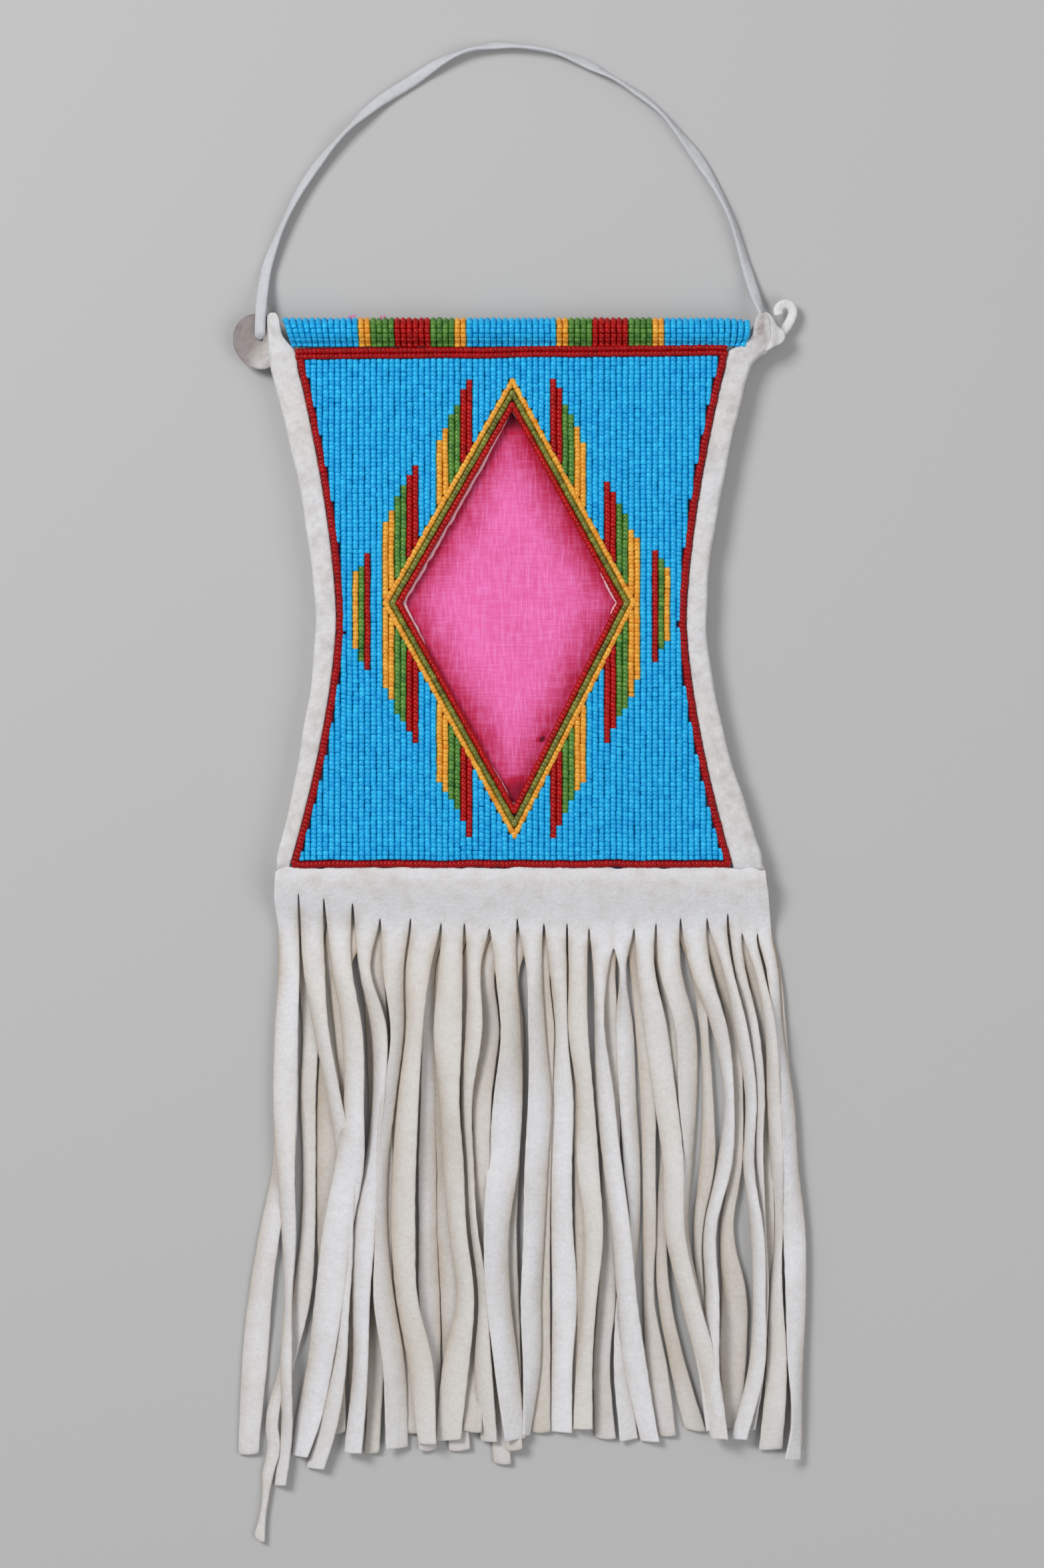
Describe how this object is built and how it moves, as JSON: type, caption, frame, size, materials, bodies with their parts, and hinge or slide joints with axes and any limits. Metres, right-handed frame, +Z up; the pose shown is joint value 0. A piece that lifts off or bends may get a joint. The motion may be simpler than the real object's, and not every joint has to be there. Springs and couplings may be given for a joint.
{
  "type": "beaded flat bag",
  "caption": "Flat hourglass hide bag with a beaded front, diamond window lined with cloth, rolled beaded mouth, long hide fringe and a thong handle.",
  "frame": {"origin": "middle of the footprint without the thong, on the surface that the bag lies on", "axes": "+X to the right across the beaded face, +Y from the fringe towards the handle, +Z up out of the beaded face"},
  "size_m": [0.2164, 0.5663, 0.0136],
  "materials": {
    "hide": "white tanned hide, matt suede",
    "suede": "white hide, matt suede",
    "cloth": "pink plain-woven cotton",
    "bead_turquoise": "glossy opaque seed beads",
    "bead_red": "glossy dark red seed beads",
    "bead_green": "glossy green seed beads",
    "bead_yellow": "glossy orange-yellow seed beads"
  },
  "bodies": {
    "root": {"back_panel": "hide", "front_panel": "hide", "fringe_front": "hide", "fringe_back": "hide", "left_side_binding": "suede", "right_side_binding": "suede", "handle_thong": "suede", "thong_knot_left": "suede", "thong_knot_right": "suede", "window_lining": "cloth", "upper_left_inner_red": "bead_red", "upper_left_inner_green": "bead_green", "upper_left_inner_yellow": "bead_yellow", "upper_right_inner_red": "bead_red", "upper_right_inner_green": "bead_green", "upper_right_inner_yellow": "bead_yellow", "lower_left_inner_red": "bead_red", "lower_left_inner_green": "bead_green", "lower_left_inner_yellow": "bead_yellow", "lower_right_inner_red": "bead_red", "lower_right_inner_green": "bead_green", "lower_right_inner_yellow": "bead_yellow", "upper_left_outer_red": "bead_red", "upper_left_outer_green": "bead_green", "upper_left_outer_yellow": "bead_yellow", "upper_right_outer_red": "bead_red", "upper_right_outer_green": "bead_green", "upper_right_outer_yellow": "bead_yellow", "lower_left_outer_red": "bead_red", "lower_left_outer_green": "bead_green", "lower_left_outer_yellow": "bead_yellow", "lower_right_outer_red": "bead_red", "lower_right_outer_green": "bead_green", "lower_right_outer_yellow": "bead_yellow", "left_side_motif_red": "bead_red", "left_side_motif_green": "bead_green", "left_side_motif_yellow": "bead_yellow", "right_side_motif_red": "bead_red", "right_side_motif_green": "bead_green", "right_side_motif_yellow": "bead_yellow", "turquoise_field": "bead_turquoise", "window_row_yellow": "bead_yellow", "window_row_green": "bead_green", "window_row_red": "bead_red", "border_rows": "bead_red", "lip_band_01_turquoise": "bead_turquoise", "lip_band_02_yellow": "bead_yellow", "lip_band_03_green": "bead_green", "lip_band_04_red": "bead_red", "lip_band_05_green": "bead_green", "lip_band_06_yellow": "bead_yellow", "lip_band_07_turquoise": "bead_turquoise", "lip_band_08_yellow": "bead_yellow", "lip_band_09_green": "bead_green", "lip_band_10_red": "bead_red", "lip_band_11_green": "bead_green", "lip_band_12_yellow": "bead_yellow", "lip_band_13_turquoise": "bead_turquoise"}
  },
  "joints": []
}
